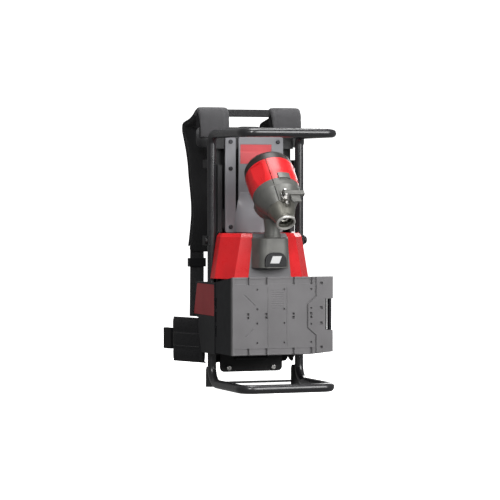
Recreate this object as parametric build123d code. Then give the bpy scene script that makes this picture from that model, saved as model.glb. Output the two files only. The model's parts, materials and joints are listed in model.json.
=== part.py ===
from build123d import *
import os
from math import atan2, cos, degrees, radians, sin

# Battery backpack power unit with a swivelling motor head and a quick-release
# coupling for a flexible drive shaft. Millimetres. +Z is up, +Y is the wearer's
# side, the battery and the motor head are on the -Y side.
# The origin is at floor level, at the centre of the whole object's box.

# --- driving dimensions: tube frame -----------------------------------------
TUBE_R = 11.0
TUBE_WALL = 2.0
POST_X = 117.6
POST_Y = 15.0
LOOP_RISE = 625.0
TOP_REACH = 246.0
BOTTOM_REACH = 234.3
CORNER_R = 30.0
LOW_BEND_R = 42.0
HIGH_BEND_R = 24.0
STUB = 18.0
LOW_Z = TUBE_R
HIGH_Z = LOW_Z + LOOP_RISE
POST_LOW = LOW_Z + LOW_BEND_R + STUB
POST_HIGH = HIGH_Z - HIGH_BEND_R - STUB
LOW_CLAMP_Z = 369.0
HIGH_CLAMP_Z = 562.0
BELT_TIP = 217.3
ORIGIN_SHIFT = (TOP_REACH + TUBE_R - POST_Y - BELT_TIP) / 2
FOOT_BACK = 40.0

# --- driving dimensions: harness board and pads ------------------------------
BOARD_Y = 51.3
BOARD_T = 4.0
PAD_Y0 = BOARD_Y + BOARD_T + 0.3
PAD_Y1 = PAD_Y0 + 25.0
PAD_HALF = 112.0
PAD_Z0 = 52.0
PAD_Z1 = 667.0
STRAP_IN = 72.0
STRAP_OUT = 140.0
YOKE_IN = 55.0
BELT_Z0 = 57.0
BELT_Z1 = 172.0
WEB_X, WEB_Y = 95.0, 138.0
WEB_W, WEB_T = 38.0, 2.6

# --- driving dimensions: cross members and plates -----------------------------
PLATE_Y0, PLATE_Y1 = 25.0, 29.0
PLATE_HALF = 78.0
GROOVE_X0, GROOVE_X1 = -50.0, -42.0
PLATE_Z0, PLATE_Z1 = 389.0, 630.0
PLATE_HOLE_X = 63.6
PLATE_HOLE_LEVELS = (403.0, 550.0, 617.7)
BAR_REACH = POST_X - TUBE_R - 0.3
LOWER_SCREW_X = 60.0
LOWER_SCREW_Z = 45.0
SCREW_R = 3.1

# --- driving dimensions: battery, dock and housing ---------------------------
BAT_HALF = 132.5
BAT_FRONT = -178.8
BAT_REAR = -52.0
BAT_Z0 = 91.0
BAT_Z1 = 283.0
BAT_REAR_Z1 = 266.5
BAT_WALL = 3.0
BAT_COVER_T = 12.0
COVER_PLANE = BAT_FRONT + BAT_COVER_T
GRIP_DEPTH = 20.0
GRIP_FLOOR = BAT_HALF - GRIP_DEPTH
DOCK_HALF = 104.0
DOCK_FRONT = -48.5
DOCK_BACK = 45.0
DOCK_Z0 = 87.0
DOCK_Z1 = 274.9
SHELL_T = 3.0
COVER_X = 134.0
COVER_FRONT = -51.6
COVER_Z1 = 265.0
HOUSING_Z0 = 275.0
HOUSING_Z1 = 388.0
RAIL_LEVELS = (145.0, 215.0)
RAIL_NECK = 7.0
RAIL_HEAD = 13.0
RAIL_DEPTH = 13.0
RAIL_PLAY = 0.6

# --- driving dimensions: swivel and motor head -------------------------------
SWIVEL_Y = -103.0
NECK_R = 20.0
BASE_Z0 = 303.0
BASE_Z1 = 378.0
BASE_HALF_BACK = 48.5
BASE_HALF_FRONT = 34.0
BASE_FRONT = -126.0
BEARING_R = 17.5
POST_R = 14.0
BUTTON_TRAVEL = 3.0
HEAD_TILT = 46.0
TAIL_Y = -64.8
TAIL_Z = 553.6
MOTOR_R = 62.0
CAP_L = 26.0
MOTOR_L = 94.0
HEAD_L = 194.0
NOSE_R = 24.0
SOCKET_R = 18.0
MOUTH_R = 20.0
MOUTH_L = 14.0
SEAM_ROLL = 25.0
SEAM_GAP = 1.6
SPINDLE_R = 6.0
RUN_FIT = 0.05
LEVER_T0, LEVER_T1 = 139.0, 152.0
PIVOT_X, PIVOT_H = -4.0, 56.0
LOCK_PIN_R = 3.0
LOCK_PIN_T = 163.0
TONGUE_HALF = 15.5
TONGUE_T = 79.5
SCREW_PLACES = ((-60, 36), (-60, 80), (-115, 36), (-115, 80))

AXIS = (0.0, -cos(radians(HEAD_TILT)), -sin(radians(HEAD_TILT)))
HEAD = Plane(origin=(0, TAIL_Y, TAIL_Z), x_dir=(1, 0, 0), z_dir=AXIS).location

parts = {}


def slab(x0, x1, y0, y1, z0, z1):
    """Axis-aligned block between two corners."""
    centre = ((x0 + x1) / 2, (y0 + y1) / 2, (z0 + z1) / 2)
    return Pos(*centre) * Box(abs(x1 - x0), abs(y1 - y0), abs(z1 - z0))


def rod(radius, length, place=None):
    """Cylinder from the place's origin along its Z."""
    solid = Cylinder(radius, length, align=(Align.CENTER, Align.CENTER, Align.MIN))
    return place * solid if place else solid


def rod_x(radius, x0, x1, y, z):
    return Pos(x0, y, z) * Rot(0, 90, 0) * rod(radius, x1 - x0)


def rod_y(radius, y0, y1, x, z):
    return Pos(x, y0, z) * Rot(-90, 0, 0) * rod(radius, y1 - y0)


def rod_z(radius, z0, z1, x, y):
    return Pos(x, y, z0) * rod(radius, z1 - z0)


def lathe(outline):
    """Solid of revolution about Z from closed (radius, height) corners."""
    corners = [(r, 0, z) for r, z in outline]
    return revolve(make_face(Polyline(*corners, close=True)), Axis.Z)


def prism_x(outline, x0, x1):
    """Closed (y, z) outline pulled from x0 to x1."""
    corners = [(x0, y, z) for y, z in outline]
    face = make_face(Polyline(*corners, close=True))
    return extrude(face, amount=x1 - x0, dir=(1, 0, 0))


def prism_y(outline, y0, y1):
    """Closed (x, z) outline pulled from y0 to y1."""
    corners = [(x, y0, z) for x, z in outline]
    face = make_face(Polyline(*corners, close=True))
    return extrude(face, amount=y1 - y0, dir=(0, 1, 0))


def prism_z(outline, z0, z1):
    """Closed (x, y) outline pulled from z0 to z1."""
    corners = [(x, y, z0) for x, y in outline]
    face = make_face(Polyline(*corners, close=True))
    return extrude(face, amount=z1 - z0, dir=(0, 0, 1))


def mirrored_outline(half):
    """Full outline from the corners of its +X half, listed along the edge."""
    return half + [(-x, y) for x, y in reversed(half)]


def round_plate(x0, x1, y0, y1, z0, z1, radius):
    """Upright plate in the XZ plane with rounded corners."""
    plate = slab(x0, x1, y0, y1, z0, z1)
    return fillet(plate.edges().filter_by(Axis.Y), radius)


def pair(make):
    """The -X and +X versions of a mirrored sub-part."""
    right = make()
    return mirror(right, Plane.YZ), right


def join(shapes):
    """Separate solids kept in one node."""
    return Compound(children=list(shapes))


# --- tube frame ---------------------------------------------------------------
def loop_tube(z, reach, turn, bend):
    """Hollow tube bent from both posts into a horizontal U towards -Y."""
    side = z - turn * (bend + STUB)
    near = POST_Y - reach
    path = FilletPolyline(
        (-POST_X, POST_Y, side),
        (-POST_X, POST_Y, z),
        (-POST_X, near, z),
        (POST_X, near, z),
        (POST_X, POST_Y, z),
        (POST_X, POST_Y, side),
        radius=[bend, CORNER_R, CORNER_R, bend],
    )
    ring = Circle(TUBE_R) - Circle(TUBE_R - TUBE_WALL)
    return sweep(Plane(origin=path @ 0, z_dir=path % 0) * ring, path=path)


def post():
    ring = rod_z(TUBE_R, POST_LOW, POST_HIGH, POST_X, POST_Y)
    return ring - rod_z(TUBE_R - TUBE_WALL, POST_LOW, POST_HIGH, POST_X, POST_Y)


def post_clearance():
    return rod_z(TUBE_R + 0.2, 0, HIGH_Z, POST_X, POST_Y)


def foot_block():
    """Rear foot behind the bottom of a post, with a chamfered upper corner."""
    y0, y1 = POST_Y + TUBE_R + 0.3, FOOT_BACK
    outline = [(y0, 0), (y1, 0), (y1, 38), (y1 - 8, 51), (y0, 51)]
    block = prism_x(outline, 104, 126)
    block = fillet(block.edges().filter_by(Axis.Z), 3)
    return block - rod_y(2.6, y0 - 1, y1 + 1, POST_X, 30)


def low_clamp():
    """Clamp round a post that carries the harness board, with a screw cap."""
    z = LOW_CLAMP_Z
    block = slab(104.8, 131, POST_Y - 8, BOARD_Y - 0.1, z - 12, z + 12)
    block = fillet(block.edges().filter_by(Axis.Z), 4)
    cap = rod_x(9.5, 131, 137.5, POST_Y + 3, z)
    cap = chamfer(cap.edges().group_by(Axis.X)[-1], 1.5)
    return block - post_clearance() + cap


def high_clamp():
    """Half saddle behind a post, under the top bend."""
    z = HIGH_CLAMP_Z
    block = slab(104.8, POST_X + TUBE_R, POST_Y + 1, BOARD_Y - 0.1, z - 10, z + 10)
    return block - post_clearance()


parts["frame_posts"] = join(pair(post))
parts["frame_top_loop"] = loop_tube(HIGH_Z, TOP_REACH, 1, HIGH_BEND_R)
parts["frame_bottom_loop"] = loop_tube(LOW_Z, BOTTOM_REACH, -1, LOW_BEND_R)
parts["rear_feet"] = join(pair(foot_block))
parts["foot_tie_bar"] = slab(-103.7, 103.7, POST_Y + TUBE_R + 1, FOOT_BACK - 2, 7, 12)
parts["post_clamps"] = join([*pair(low_clamp), *pair(high_clamp)])

# --- cross members, back plate and side rails ---------------------------------
def crossbar(z0, z1):
    return slab(-BAR_REACH, BAR_REACH, PLATE_Y1 + 0.1, PLATE_Y1 + 7, z0, z1)


def side_rail():
    """Upright bar between the back plate and a post."""
    rail = slab(90, 104.5, 12, PLATE_Y1, 390, 559)
    return chamfer(rail.edges().filter_by(Axis.Z).sort_by(Axis.Y)[:2], 2)


def holed(plate, centres, radius=3.2):
    for x, z in centres:
        plate -= rod_y(radius, PLATE_Y0 - 2, PLATE_Y1 + 2, x, z)
    return plate


def back_plate():
    """Main upright plate with a shallow recess for its coloured inlay."""
    plate = round_plate(GROOVE_X1, PLATE_HALF, PLATE_Y0, PLATE_Y1, PLATE_Z0, PLATE_Z1, 6)
    plate = holed(plate, [(PLATE_HOLE_X, z) for z in PLATE_HOLE_LEVELS])
    return plate - slab(-37.5, 46.5, PLATE_Y0 - 1, PLATE_Y0 + 2, 562, 611)


def back_strip():
    strip = round_plate(-PLATE_HALF, GROOVE_X0, PLATE_Y0, PLATE_Y1, PLATE_Z0, PLATE_Z1, 6)
    return holed(strip, [(-PLATE_HOLE_X, z) for z in PLATE_HOLE_LEVELS])


def plate_screw(x, z):
    """Domed screw that holds the plate to a crossbar."""
    shank = rod_y(SCREW_R, PLATE_Y0, PLATE_Y1, x, z)
    head = rod_y(5.6, PLATE_Y0 - 2.4, PLATE_Y0, x, z)
    head = chamfer(head.edges().group_by(Axis.Y)[0], 1.2)
    return shank + head - rod_y(1.8, PLATE_Y0 - 4, PLATE_Y0 - 1, x, z)


def plate_inlay():
    """Coloured inlay: two panes that meet at a horizontal crease."""
    y0, y1 = PLATE_Y0 + 0.2, PLATE_Y0 + 1.9
    outline = [
        (y1, 562.3), (y0 + 0.4, 562.3), (y0, 591.5),
        (y0 + 1.2, 592.5), (y0, 610.7), (y1, 610.7),
    ]
    return prism_x(outline, -37.2, 46.2)


def fairing_section(z, half, swell):
    """Flat against the plate, swelling towards -Y."""
    y = PLATE_Y0 - 0.1
    bow = ThreePointArc((-half, y, z), (0, y - swell, z), (half, y, z))
    return make_face(bow + Line((half, y, z), (-half, y, z)))


def plate_fairing():
    """Ramp that swells from the back plate down to the top of the housing."""
    sections = [(389.5, 56, 50), (420, 53, 36), (455, 47, 16), (490, 40, 2)]
    return loft([fairing_section(*section) for section in sections])


parts["side_rails"] = join(pair(side_rail))
parts["plate_crossbars"] = join([crossbar(600, 628), crossbar(399, 447)])
parts["back_plate"] = back_plate()
parts["back_strip"] = back_strip()
parts["plate_inlay"] = plate_inlay()
parts["plate_screws"] = join(
    plate_screw(x, z) for x in (-PLATE_HOLE_X, PLATE_HOLE_X) for z in PLATE_HOLE_LEVELS
)
parts["plate_fairing"] = plate_fairing()


# --- harness board and lower plate --------------------------------------------
def harness_board():
    """Moulded board that carries the pads: narrow body, wide head."""
    body = round_plate(-108, 108, BOARD_Y, BOARD_Y + BOARD_T, 78, 622, 10)
    head = round_plate(-146, 146, BOARD_Y, BOARD_Y + BOARD_T, 604, 655, 14)
    board = body + head
    for z in (170, 300, 430, 520):
        for x in (-45, 45):
            board -= slab(x - 26, x + 26, BOARD_Y - 1, BOARD_Y + BOARD_T + 1, z - 14, z + 14)
    return board


def lower_plate():
    """Black plate under the dock with a lip and two fixing screws."""
    y1 = BOARD_Y - 0.2
    plate = round_plate(-84, 84, y1 - 4, y1, 35, 86, 12)
    lip = slab(-44, 44, y1 - 9, y1 - 4, 66, 72)
    plate = plate + fillet(lip.edges().filter_by(Axis.X).sort_by(Axis.Y)[:2], 2)
    for x in (-LOWER_SCREW_X, LOWER_SCREW_X):
        plate -= rod_y(SCREW_R + 0.1, y1 - 9, y1 + 1, x, LOWER_SCREW_Z)
    return plate


def lower_screw(x):
    """Button-head screw with a hexagon socket."""
    seat = BOARD_Y - 4.2
    head = rod_y(6.6, seat - 3.4, seat, x, LOWER_SCREW_Z)
    head = fillet(head.edges().group_by(Axis.Y)[0], 2.2)
    socket = extrude(RegularPolygon(2.9, 6), amount=3)
    screw = head + rod_y(SCREW_R, seat, seat + 4, x, LOWER_SCREW_Z)
    return screw - Pos(x, seat - 3.9, LOWER_SCREW_Z) * Rot(-90, 0, 0) * socket


parts["harness_board"] = harness_board()
parts["lower_plate"] = lower_plate()
parts["lower_plate_screws"] = join(lower_screw(x) for x in (-LOWER_SCREW_X, LOWER_SCREW_X))


# --- battery dock ---------------------------------------------------------------
def dock_shell():
    """Open-backed tub between the posts."""
    outer = slab(-DOCK_HALF, DOCK_HALF, DOCK_FRONT, DOCK_BACK, DOCK_Z0, DOCK_Z1)
    outer = fillet(outer.edges().filter_by(Axis.X), 4)
    inner = slab(
        -DOCK_HALF + SHELL_T, DOCK_HALF - SHELL_T,
        DOCK_FRONT + SHELL_T, DOCK_BACK + 1,
        DOCK_Z0 + SHELL_T, DOCK_Z1 - SHELL_T,
    )
    shell = outer - inner
    shell -= slab(-32, 32, DOCK_FRONT - 1, DOCK_FRONT + SHELL_T + 1, 168, 192)
    return shell


def dock_rail(z):
    """T-shaped rail along X that the battery hooks onto."""
    y1 = DOCK_FRONT
    neck = slab(-96, 96, y1 - RAIL_DEPTH, y1, z - RAIL_NECK, z + RAIL_NECK)
    head = slab(-96, 96, y1 - RAIL_DEPTH, y1 - RAIL_DEPTH + 4, z - RAIL_HEAD, z + RAIL_HEAD)
    return neck + head


def dock_back_cover():
    return slab(-100, 100, DOCK_BACK - 3, DOCK_BACK, DOCK_Z0 + 4, DOCK_Z1 - 4)


def terminal_block():
    """Contact block in the dock's window, with five blades."""
    body = slab(-31.5, 31.5, DOCK_FRONT - 3, DOCK_FRONT + 22, 168.5, 191.5)
    for x in (-24, -12, 0, 12, 24):
        body += slab(x - 1, x + 1, DOCK_FRONT - 10, DOCK_FRONT - 3, 173, 187)
    return body


COVER_OUTLINE = [
    (COVER_FRONT, DOCK_Z0), (48, DOCK_Z0), (70, 140), (72, 174), (108, 178),
    (108, 187), (86, 258), (79, COVER_Z1), (COVER_FRONT, COVER_Z1),
]


def side_cover():
    """Cover round a post beside the dock, drawn out into an ear."""
    ear = prism_x(COVER_OUTLINE, COVER_X - 7, COVER_X)
    wrap = slab(DOCK_HALF + 0.2, COVER_X - 6, COVER_FRONT, DOCK_BACK, DOCK_Z0, COVER_Z1)
    cavity = slab(
        DOCK_HALF + 3, COVER_X - 4,
        COVER_FRONT + 3, POST_Y - TUBE_R - 3,
        DOCK_Z0 + 3, COVER_Z1 - 3,
    )
    cover = wrap + ear - cavity - post_clearance()
    return cover - prism_x(label_outline(0), COVER_X - 1.2, COVER_X + 1)


def label_outline(gap):
    """(y, z) outline of the ear's upper field, smaller all round by the gap."""
    front, low, top = COVER_FRONT + 4 + gap, 182 + gap, 261 - gap
    return [(front, low), (103 - gap, low), (103 - gap, 188), (82 - gap, 254), (76, top), (front, top)]


def label_panel():
    """Coloured inlay of the side cover."""
    return prism_x(label_outline(0.4), COVER_X - 1.1, COVER_X + 0.3)


parts["dock_shell"] = dock_shell() + dock_rail(RAIL_LEVELS[0]) + dock_rail(RAIL_LEVELS[1])
parts["dock_back_cover"] = dock_back_cover()
parts["dock_terminal_block"] = terminal_block()
parts["side_covers"] = join(pair(side_cover))
parts["label_panels"] = join(pair(label_panel))


def controller_parts():
    """Power board with its capacitors, and the finned heat sink on it."""
    board = slab(-80, 80, 18, 19.6, 110, 235)
    sink = slab(-60, 60, -8, -4, 200, 256)
    for i in range(11):
        sink += slab(-58 + 11.4 * i, -56 + 11.4 * i, -4, 12, 200, 256)
    caps = [rod_y(9, -8, 17.9, x, 135) for x in (-50, -25, 0)]
    return join([board, *caps]), sink


parts["controller_board"], parts["controller_heat_sink"] = controller_parts()

# --- battery ---------------------------------------------------------------------
SLOT_X = (-92, -44.5, 27, 74)
HOLE_X = (-68.3, 2.5)
HOLE_Z = (121, 169, 204, 252)
NOTCH_Z = (108, 167.5, 205.4, 266)
GRIP_Z0, GRIP_Z1 = 150.0, 228.0
LATCH_TRAVEL = 4.0


def battery_blank():
    """Outer block: its top falls towards the dock, its handle end is bevelled below."""
    side = [(BAT_FRONT, BAT_Z0), (BAT_REAR, BAT_Z0), (BAT_REAR, BAT_REAR_Z1), (BAT_FRONT, BAT_Z1)]
    end = BAT_HALF + 1
    bevel = [(74, BAT_Z0 - 1), (end, BAT_Z0 - 1), (end, BAT_Z0 + 5.5), (74, BAT_Z0)]
    return prism_x(side, -BAT_HALF, BAT_HALF) - prism_y(bevel, -200, 0)


def battery_case():
    """Rear tub of the battery with two T channels for the dock's rails."""
    tub = battery_blank() & slab(-150, 150, COVER_PLANE + 0.15, 0, 0, 300)
    tub -= slab(
        -BAT_HALF + BAT_WALL, 96,
        COVER_PLANE - 1, BAT_REAR - 17,
        BAT_Z0 + BAT_WALL, BAT_REAR_Z1 - 6,
    )
    for z in RAIL_LEVELS:
        mouth = RAIL_NECK + RAIL_PLAY
        deep = RAIL_HEAD + RAIL_PLAY
        back = DOCK_FRONT - RAIL_DEPTH
        tub -= slab(-150, 150, back - 1, BAT_REAR + 1, z - mouth, z + mouth)
        tub -= slab(-150, 150, back - 1, back + 5, z - deep, z + deep)
    tub -= slab(-150, 36, BAT_REAR - 10, BAT_REAR + 1, 167, 193)
    return tub - grip_space() - latch_body(0.4, LATCH_TRAVEL + 2.6) + grip_bar()


def grip_space():
    """Hand recess in the +X end of the battery, open to the end and the front."""
    return slab(GRIP_FLOOR, BAT_HALF + 1, BAT_FRONT - 1, BAT_FRONT + 42, GRIP_Z0, GRIP_Z1)


def seam_path():
    return [(86, BAT_Z1), (86, 235), (64, 216), (64, 156), (86, 137), (86, BAT_Z0)]


def groove_between(a, b, width, depth):
    """Straight groove in the battery's front face."""
    dx, dz = b[0] - a[0], b[1] - a[1]
    length = (dx * dx + dz * dz) ** 0.5 + width
    centre = ((a[0] + b[0]) / 2, BAT_FRONT, (a[1] + b[1]) / 2)
    turn = degrees(atan2(dz, dx))
    return Pos(*centre) * Rot(0, -turn, 0) * Box(length, 2 * depth, width)


def battery_cover():
    """Front cover: slots, sockets, a stepped seam and shallow ribs."""
    cover = battery_blank() & slab(-150, 150, BAT_FRONT - 1, COVER_PLANE, 0, 300)
    long_edges = cover.edges().filter_by(Axis.X).group_by(Axis.Y)[0]
    cover = chamfer(long_edges, 1.2)
    cover -= slab(-BAT_HALF + 5, 84, BAT_FRONT - 1, BAT_FRONT + 1.2, 266, 278)
    cover -= slab(-BAT_HALF + 5, 84, BAT_FRONT - 1, BAT_FRONT + 0.8, 95, 107)
    for x in SLOT_X:
        cover -= slab(x - 3.3, x + 3.3, BAT_FRONT - 1, BAT_FRONT + 6, 264, BAT_Z1 + 2)
        cover -= slab(x - 3.3, x + 3.3, BAT_FRONT - 1, BAT_FRONT + 6, BAT_Z0 - 2, 108)
        for z in (183, 191.5):
            cover -= slab(x - 3.0, x + 3.0, BAT_FRONT - 1, BAT_FRONT + 5, z - 3.0, z + 3.0)
    for x in HOLE_X:
        for z in HOLE_Z:
            cover -= rod_y(2.7, BAT_FRONT - 1, BAT_FRONT + 4, x, z)
    for z in (121, 166, 205, 252):
        cover -= rod_y(2.7, BAT_FRONT - 1, BAT_FRONT + 4, 74, z)
    for z in NOTCH_Z:
        cover -= slab(97, 104.4, BAT_FRONT - 1, BAT_FRONT + 5, z - 3.5, z + 3.5)
    corners = seam_path()
    for a, b in zip(corners[:-1], corners[1:]):
        cover -= groove_between(a, b, 4.0, 3.0)
    cover -= slab(105, BAT_HALF + 1, BAT_FRONT - 1, BAT_FRONT + 1.4, BAT_Z0 - 1, BAT_Z1 + 1)
    for x in (-40.5, 9.5):
        cover -= slab(x - 0.6, x + 0.6, BAT_FRONT - 1, BAT_FRONT + 0.6, 112, 258)
    for i in range(9):
        cover -= slab(-32, 2 - 2 * (i % 2), BAT_FRONT - 1, BAT_FRONT + 0.5, 205 + 5.5 * i, 206.4 + 5.5 * i)
    cover -= groove_between((-101, 238), (-76, 215), 2.6, 0.9)
    cover -= groove_between((-99, 137), (-80, 155), 2.0, 0.9)
    return cover - grip_space()


def grip_bar():
    """Pull bar that bridges the hand recess near its open end, tied into the case."""
    x1 = BAT_HALF - 1.2
    bar = slab(x1 - 8, x1, BAT_FRONT + 6, BAT_FRONT + 20, GRIP_Z0 + 0.3, GRIP_Z1 - 0.3)
    bar = fillet(bar.edges().filter_by(Axis.Z), 3.5)
    roots = slab(x1 - 7, x1 - 1, COVER_PLANE + 0.4, BAT_FRONT + 18, GRIP_Z0 - 1, GRIP_Z1 + 1)
    return bar + roots


def latch_body(grow=0.0, travel=0.0):
    """Release paddle on the floor of the hand recess, or the pocket it moves in."""
    x0, x1 = GRIP_FLOOR + 0.4 - grow - travel, GRIP_FLOOR + 4.4
    y0, y1 = BAT_FRONT + 30 - grow, BAT_FRONT + 41 + grow
    paddle = slab(x0, x1, y0, y1, 165 - grow, 213 + grow)
    return fillet(paddle.edges().filter_by(Axis.X), 1.5 + grow)


def battery_cells():
    """Two rows of cylindrical cells standing along Y."""
    cells = []
    for i in range(9):
        for k in range(7):
            x = -118 + 23.2 * i
            z = 105.5 + 23.2 * k
            cells.append(rod_y(10.6, COVER_PLANE + 6, COVER_PLANE + 76, x, z))
    return join(cells)


def cell_holders():
    """Two perforated plates that hold the cells' ends."""
    plates = []
    for y in (COVER_PLANE + 6, COVER_PLANE + 66):
        plate = slab(-129, 84, y, y + 10, BAT_Z0 + 3.5, 258.5)
        for i in range(9):
            for k in range(7):
                plate -= rod_y(10.8, y - 1, y + 11, -118 + 23.2 * i, 105.5 + 23.2 * k)
        plates.append(plate)
    return join(plates)


def battery_board():
    return slab(86, 87.6, COVER_PLANE + 8, COVER_PLANE + 76, 110, 250)


parts["battery_case"] = battery_case()
parts["battery_cover"] = battery_cover()
parts["battery_latch"] = latch_body()
parts["battery_cells"] = battery_cells()
parts["battery_cell_holders"] = cell_holders()
parts["battery_board"] = battery_board()

# --- top housing --------------------------------------------------------------------
HOUSING_TOP = [(109, 3), (109, -25), (73, -75), (47, -87)]
HOUSING_LOW = [(126, 3), (126, -28), (91, -74), (57, -85)]
BEVEL = 9.0
HOUSING_CREST = [(103, 3), (103, -22), (69, -68), (45, -79)]


def section_face(half, z, inset=0.0):
    """Horizontal section of the housing, moved inwards by the inset."""
    def moved(x, y):
        return (x - inset, y + inset if y < 0 else y - inset)
    outline = mirrored_outline([moved(x, y) for x, y in half])
    return make_face(Polyline(*[(x, y, z) for x, y in outline], close=True))


def housing_block(inset=0.0):
    """Tapered block with a bevel round its top edge."""
    low = section_face(HOUSING_LOW, HOUSING_Z0 - (1 if inset else 0), inset)
    mid = section_face(HOUSING_TOP, HOUSING_Z1 - BEVEL, inset)
    crest = section_face(HOUSING_CREST, HOUSING_Z1 - inset, inset)
    return loft([low, mid], ruled=True) + loft([mid, crest], ruled=True)


def centre_wedge():
    """Space of the grey centre panel, wider at the bottom."""
    outline = [(-57.5, 270), (57.5, 270), (46.5, 380), (42, 395), (-42, 395), (-46.5, 380)]
    return prism_y(outline, -110, -60)


HOUSING_OUTER = housing_block()
housing_shell = HOUSING_OUTER - housing_block(SHELL_T)
red_shell = housing_shell - centre_wedge()
parts["housing_left_shell"] = red_shell & slab(-200, -0.15, -200, 200, 0, 500)
parts["housing_right_shell"] = red_shell & slab(0.15, 200, -200, 200, 0, 500)
wedge_gap = offset(centre_wedge(), amount=-0.2)
centre_panel = housing_shell & wedge_gap
centre_panel -= rod_z(BEARING_R, BASE_Z0 + 10, BASE_Z1 + 0.1, 0, SWIVEL_Y)
centre_panel -= rod_z(NECK_R + 3.5, BASE_Z1, HOUSING_Z1 + 2, 0, SWIVEL_Y)
parts["housing_centre_panel"] = centre_panel

# --- swivel base -----------------------------------------------------------------------
def base_block():
    """Tapered boss with a rounded front on the face of the housing."""
    half = [(BASE_HALF_BACK, -60), (BASE_HALF_BACK, -87), (BASE_HALF_FRONT, BASE_FRONT)]
    block = prism_z(mirrored_outline(half), BASE_Z0, BASE_Z1)
    block = fillet(block.edges().filter_by(Axis.Z).sort_by(Axis.Y)[:2], 20)
    rim = block.edges().group_by(Axis.Z)[-1].filter_by(lambda edge: edge.center().Y < -88)
    return chamfer(rim, 2.5)


def swivel_base():
    base = base_block() - HOUSING_OUTER
    base -= rod_z(BEARING_R, BASE_Z0 + 16, BASE_Z1 + 1, 0, SWIVEL_Y)
    return base - button_body(0.3, BUTTON_TRAVEL + 0.2)


def button_body(grow=0.0, travel=0.0):
    """Arched pad low on the front of the boss, or the pocket that it moves in."""
    y0, y1 = BASE_FRONT - 3 - grow, BASE_FRONT + 1.4 + travel
    pad = slab(-28 - grow, 28 + grow, y0, y1, 306 - grow, 341 + grow)
    corners = pad.edges().filter_by(Axis.Y).sort_by(Axis.Z)
    pad = fillet(corners[2:], 20)
    return fillet(pad.edges().filter_by(Axis.Y).sort_by(Axis.Z)[:2], 4)


def bearing(outer, inner, z0, z1):
    return rod(outer, z1 - z0, Pos(0, 0, z0)) - rod(inner, z1 - z0 + 2, Pos(0, 0, z0 - 1))


def swivel_post():
    """Metal post: flange above the boss, journal down through two bushes."""
    place = Pos(0, SWIVEL_Y, 0)
    shaft = rod(POST_R, 59, place * Pos(0, 0, 320))
    flange = rod(NECK_R + 1.5, 8, place * Pos(0, 0, BASE_Z1 + 0.3))
    return shaft + flange - rod(8, 80, place * Pos(0, 0, 315))


bush_gap = POST_R + RUN_FIT
parts["swivel_base"] = swivel_base()
parts["swivel_bushes"] = join(
    Pos(0, SWIVEL_Y, 0) * bearing(BEARING_R, bush_gap, z0, z0 + 14) for z0 in (320, 362)
)
parts["swivel_lock_button"] = button_body()
parts["swivel_post"] = swivel_post()


# --- motor head --------------------------------------------------------------------------
def half_space(side, gap=SEAM_GAP):
    """Everything on one side of the clamshell seam, in head coordinates."""
    return Rot(0, 0, SEAM_ROLL) * Pos(side * (200 + gap / 2), 0, 100) * Box(400, 400, 700)


def halves(solid_in_world):
    left = solid_in_world & (HEAD * half_space(-1))
    right = solid_in_world & (HEAD * half_space(1))
    return left, right


def motor_shell():
    """Barrel round the motor with a flat facet beside the seam."""
    start = CAP_L + 0.2
    outer = lathe([(0, start), (MOTOR_R, start), (MOTOR_R, 66), (60, MOTOR_L), (0, MOTOR_L)])
    facet = Rot(0, 0, 52) * Pos(0, MOTOR_R + 17.5, 72) * Box(70, 40, 84)
    inner = lathe([(0, 20), (58, 20), (58, 70), (56, MOTOR_L + 1), (0, MOTOR_L + 1)])
    return HEAD * (outer - facet - inner - tongue_block(0.5))


def tongue_block(grow=0.0):
    """Finger of the gearcase that reaches back over the barrel."""
    half = TONGUE_HALF + grow
    return Rot(0, 0, -5) * slab(-half, half, 40, 80, TONGUE_T - grow, MOTOR_L + 3)


def gearcase_blank(shrink=0.0):
    """Grey case: cone towards the nose, round elbow and neck to the swivel."""
    start = MOTOR_L + 0.2
    cone = lathe([
        (0, start), (60 - shrink, start), (57.5 - shrink, 112),
        (45 - shrink, 131), (36 - shrink, 147), (0, 147),
    ])
    elbow = Pos(0, SWIVEL_Y, 468) * Sphere(49 - shrink)
    top = BASE_Z1 + 8.4
    neck = loft([
        Plane((0, SWIVEL_Y, top)) * Circle(NECK_R - shrink),
        Plane((0, SWIVEL_Y, 418)) * Circle(NECK_R + 1.5 - shrink),
        Plane((0, SWIVEL_Y, 448)) * Circle(33 - shrink),
    ])
    barrel = HEAD * rod(MOTOR_R + 20, MOTOR_L + 20, Pos(0, 0, -19.8))
    return (HEAD * cone + elbow + neck) - barrel


def gearcase():
    case = gearcase_blank() - gearcase_blank(4.0)
    case -= rod_z(NECK_R - 6, BASE_Z1, 430, 0, SWIVEL_Y)
    case -= HEAD * rod(28, 60, Pos(0, 0, 120))
    skin = rod(MOTOR_R + 1.6, 40, Pos(0, 0, 60)) - rod(58.5, 60, Pos(0, 0, 50))
    return case + HEAD * (tongue_block() & skin)


left_motor, right_motor = halves(motor_shell())
parts["motor_left_shell"] = left_motor
parts["motor_right_shell"] = right_motor
left_case, right_case = halves(gearcase())
parts["gearcase_left"] = left_case
parts["gearcase_right"] = right_case


def tail_cap():
    """Ventilated end cap over the back of the motor, with the seam's groove."""
    cap = lathe([(0, -2), (50, -2), (55.5, 0.5), (60, 8), (MOTOR_R, CAP_L), (0, CAP_L)])
    cap -= lathe([(0, 4), (50.3, 4), (50.3, 14), (56, 14), (58, CAP_L + 1), (0, CAP_L + 1)])
    cap -= Rot(0, 0, SEAM_ROLL) * (slab(-0.8, 0.8, -80, 80, 0, 40) - rod(MOTOR_R - 2.6, 60))
    for i in range(12):
        cap -= Rot(0, 0, 30 * i) * slab(-2, 2, 16, 44, -20, 10)
    return HEAD * cap


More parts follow.
